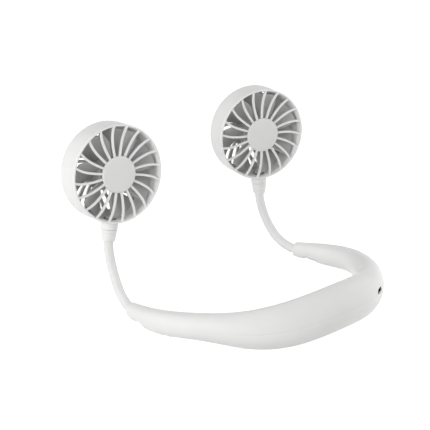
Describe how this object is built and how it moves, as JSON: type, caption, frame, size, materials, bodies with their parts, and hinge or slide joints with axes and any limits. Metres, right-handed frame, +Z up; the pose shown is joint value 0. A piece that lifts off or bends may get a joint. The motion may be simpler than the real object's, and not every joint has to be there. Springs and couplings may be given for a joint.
{
  "type": "neck fan",
  "caption": "Hands-free neck fan: a U-shaped neck band with a bendable silicone-sleeved arm at each tip, each carrying a round swivelling fan head with a swept-rib grille.",
  "frame": {"origin": "on the table under the middle of the whole fan at rest, as pictured", "axes": "+Z up, +Y the way the wearer faces, towards the arms; the nape of the band is at -Y and the grilles face -Y, to the wearer; -X is the wearer's left"},
  "size_m": [0.2157, 0.1841, 0.1302],
  "materials": {
    "shell_plastic": "satin white moulded ABS",
    "grille_plastic": "satin white moulded ABS",
    "grey_plastic": "pale grey moulded plastic",
    "blade_plastic": "white moulded blades",
    "sleeve_silicone": "white silicone",
    "core_steel": "bare gooseneck steel",
    "clip_steel": "spring steel",
    "shaft_steel": "ground steel",
    "screw_steel": "nickel-plated steel",
    "socket_steel": "stamped steel",
    "motor_can": "drawn steel can",
    "cell_sleeve": "lithium cell in a blue shrink sleeve",
    "board_laminate": "green laminate"
  },
  "bodies": {
    "band": {"band_upper_shell": "shell_plastic", "band_lower_shell": "shell_plastic", "battery": "cell_sleeve", "circuit_board": "board_laminate", "charging_socket": "socket_steel", "shell_screws": "screw_steel", "left_switch": "board_laminate", "right_switch": "board_laminate", "left_arm_anchor": "core_steel", "right_arm_anchor": "core_steel"},
    "left_button": {"left_power_button": "grey_plastic"},
    "left_arm_lower": {"left_core_lower": "core_steel"},
    "left_arm_middle": {"left_core_middle": "core_steel", "left_arm_sleeve": "sleeve_silicone"},
    "left_arm_upper": {"left_core_upper": "core_steel", "left_collar": "shell_plastic", "left_swivel_clip": "clip_steel"},
    "left_head": {"left_housing": "shell_plastic", "left_front_grille": "grille_plastic", "left_hub_cap": "grey_plastic", "left_motor": "motor_can", "left_motor_screws": "screw_steel"},
    "left_impeller": {"left_impeller": "blade_plastic", "left_motor_shaft": "shaft_steel", "left_motor_rotor": "shaft_steel"},
    "right_button": {"right_power_button": "grey_plastic"},
    "right_arm_lower": {"right_core_lower": "core_steel"},
    "right_arm_middle": {"right_core_middle": "core_steel", "right_arm_sleeve": "sleeve_silicone"},
    "right_arm_upper": {"right_core_upper": "core_steel", "right_collar": "shell_plastic", "right_swivel_clip": "clip_steel"},
    "right_head": {"right_housing": "shell_plastic", "right_front_grille": "grille_plastic", "right_hub_cap": "grey_plastic", "right_motor": "motor_can", "right_motor_screws": "screw_steel"},
    "right_impeller": {"right_impeller": "blade_plastic", "right_motor_shaft": "shaft_steel", "right_motor_rotor": "shaft_steel"}
  },
  "joints": [
    {"name": "left_button_press", "type": "slide", "parent": "band", "child": "left_button", "axis": [-0.7547, 0.0866, 0.6503], "range_m": [0, 0.0005], "stiffness_N_per_m": 1500},
    {"name": "left_low_bend", "type": "hinge", "parent": "band", "child": "left_arm_lower", "pos_m": [-0.08526, 0.03791, 0.00611], "axis": [0.977, -0.213, 0], "range_deg": [-25, 25]},
    {"name": "left_side_lean", "type": "hinge", "parent": "left_arm_lower", "child": "left_arm_middle", "pos_m": [-0.08301, 0.04822, 0.01005], "axis": [0.1126, 0.5163, -0.849], "range_deg": [-25, 25], "deforming": ["left_arm_sleeve"]},
    {"name": "left_high_bend", "type": "hinge", "parent": "left_arm_middle", "child": "left_arm_upper", "pos_m": [-0.08028, 0.06073, 0.02443], "axis": [0.977, -0.213, 0], "range_deg": [-25, 25]},
    {"name": "left_head_swivel", "type": "hinge", "parent": "left_arm_upper", "child": "left_head", "pos_m": [-0.07818, 0.06754, 0.04579], "axis": [0.1439, 0.0527, 0.9882], "range_deg": [-120, 120]},
    {"name": "left_impeller_spin", "type": "hinge", "parent": "left_head", "child": "left_impeller", "pos_m": [-0.07112, 0.07012, 0.09421], "axis": [-0.1699, -0.9824, 0.0771], "continuous": true},
    {"name": "right_button_press", "type": "slide", "parent": "band", "child": "right_button", "axis": [0.7547, 0.0866, 0.6503], "range_m": [0, 0.0005], "stiffness_N_per_m": 1500},
    {"name": "right_low_bend", "type": "hinge", "parent": "band", "child": "right_arm_lower", "pos_m": [0.08094, 0.03791, 0.00611], "axis": [0.977, 0.213, 0], "range_deg": [-25, 25]},
    {"name": "right_side_lean", "type": "hinge", "parent": "right_arm_lower", "child": "right_arm_middle", "pos_m": [0.07869, 0.04822, 0.01005], "axis": [-0.1126, 0.5163, -0.849], "range_deg": [-25, 25], "deforming": ["right_arm_sleeve"]},
    {"name": "right_high_bend", "type": "hinge", "parent": "right_arm_middle", "child": "right_arm_upper", "pos_m": [0.07597, 0.06073, 0.02443], "axis": [0.977, 0.213, 0], "range_deg": [-25, 25]},
    {"name": "right_head_swivel", "type": "hinge", "parent": "right_arm_upper", "child": "right_head", "pos_m": [0.07435, 0.06749, 0.04604], "axis": [-0.0376, 0.0363, 0.9986], "range_deg": [-120, 120]},
    {"name": "right_impeller_spin", "type": "hinge", "parent": "right_head", "child": "right_impeller", "pos_m": [0.07251, 0.06927, 0.09497], "axis": [-0.3169, -0.9482, 0.0225], "continuous": true}
  ],
  "couplings": [
    {"joint": "left_high_bend", "follows": "left_low_bend", "ratio": 1},
    {"joint": "right_high_bend", "follows": "right_low_bend", "ratio": 1}
  ]
}
